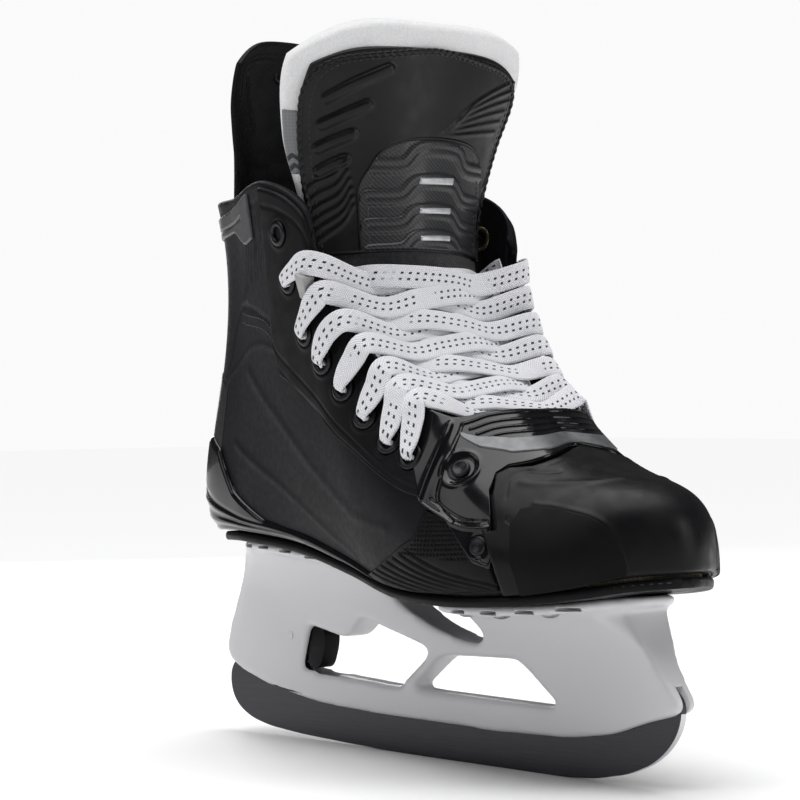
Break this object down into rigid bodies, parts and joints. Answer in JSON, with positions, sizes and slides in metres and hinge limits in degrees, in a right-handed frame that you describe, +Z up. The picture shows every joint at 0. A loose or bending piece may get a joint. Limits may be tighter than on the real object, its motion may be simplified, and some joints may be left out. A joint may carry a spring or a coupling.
{
  "type": "ice hockey skate",
  "caption": "Right-foot ice hockey skate: moulded boot with lacing, padded tongue, tendon guard, blade holder and a removable steel runner with a trigger release.",
  "frame": {"origin": "middle of the runner's flat on the ice, straight under the front of the ankle", "axes": "+X forward to the toe, +Y to the inner side of the foot, +Z up"},
  "size_m": [0.2846, 0.13, 0.302],
  "materials": {
    "sole_black": "satin",
    "board": "matte",
    "foam_dark": "matte",
    "quarter": "matte",
    "vamp": "matte",
    "toe_cap": "satin",
    "gloss_black": "gloss",
    "rivet_dark": "satin",
    "vent": "matte",
    "film_grey": "gloss",
    "trim_silver": "satin",
    "facing": "matte",
    "eyelet": "satin",
    "lock_grey": "satin",
    "liner": "matte",
    "lace": "matte",
    "aglet": "gloss",
    "guard": "satin",
    "felt": "matte",
    "cover": "satin",
    "insert": "satin",
    "label": "matte",
    "holder_white": "semi-gloss",
    "rivet_steel": "satin",
    "trigger_black": "satin",
    "pin_steel": "satin",
    "runner_steel": "coated, satin"
  },
  "bodies": {
    "root": {"outsole": "sole_black", "insole_board": "board", "footbed": "foam_dark", "quarter_lateral": "quarter", "quarter_medial": "quarter", "toe_box": "vamp", "toe_cap": "toe_cap", "toe_bridge": "gloss_black", "bridge_rivets": "rivet_dark", "vent_panel_lateral": "vent", "vent_panel_medial": "vent", "heel_counter": "gloss_black", "heel_strip": "film_grey", "collar_panels": "trim_silver", "facing_lateral": "facing", "facing_medial": "facing", "eyelets_lateral": "eyelet", "eyelets_medial": "eyelet", "lace_lock_lateral": "lock_grey", "lace_lock_medial": "lock_grey", "liner_lateral": "liner", "liner_medial": "liner", "ankle_pads": "foam_dark", "collar_pad": "liner", "tongue_lower": "liner", "lace": "lace", "aglets": "aglet", "guard_base": "guard", "holder": "holder_white", "rivets_rear": "rivet_steel", "rivets_front": "rivet_steel", "trigger_pin": "pin_steel", "trigger_spring": "pin_steel"},
    "tongue": {"tongue_felt": "felt", "tongue_cover": "cover", "tongue_insert": "insert", "tongue_bars": "trim_silver", "tongue_label": "label"},
    "guard": {"tendon_guard": "guard", "guard_grommet": "rivet_dark"},
    "trigger": {"trigger": "trigger_black"},
    "runner": {"runner": "runner_steel"}
  },
  "joints": [
    {"name": "tongue_flex", "type": "hinge", "parent": "root", "child": "tongue", "pos_m": [-0.016, 0, 0.203], "axis": [0, 1, 0], "range_deg": [0, 18], "stiffness_Nm_per_rad": 0.6},
    {"name": "tendon_guard_flex", "type": "hinge", "parent": "root", "child": "guard", "pos_m": [-0.112, 0, 0.232], "axis": [0, -1, 0], "range_deg": [0, 22], "stiffness_Nm_per_rad": 1.2},
    {"name": "trigger_pull", "type": "hinge", "parent": "root", "child": "trigger", "pos_m": [-0.09, 0, 0.045], "axis": [0, 1, 0], "range_deg": [0, 18], "stiffness_Nm_per_rad": 0.3},
    {"name": "runner_release", "type": "hinge", "parent": "root", "child": "runner", "pos_m": [0.133, 0, 0.033], "axis": [0, -1, 0], "range_deg": [0, 0.9]}
  ],
  "couplings": [
    {"joint": "runner_release", "follows": "trigger_pull", "ratio": 0.05}
  ]
}
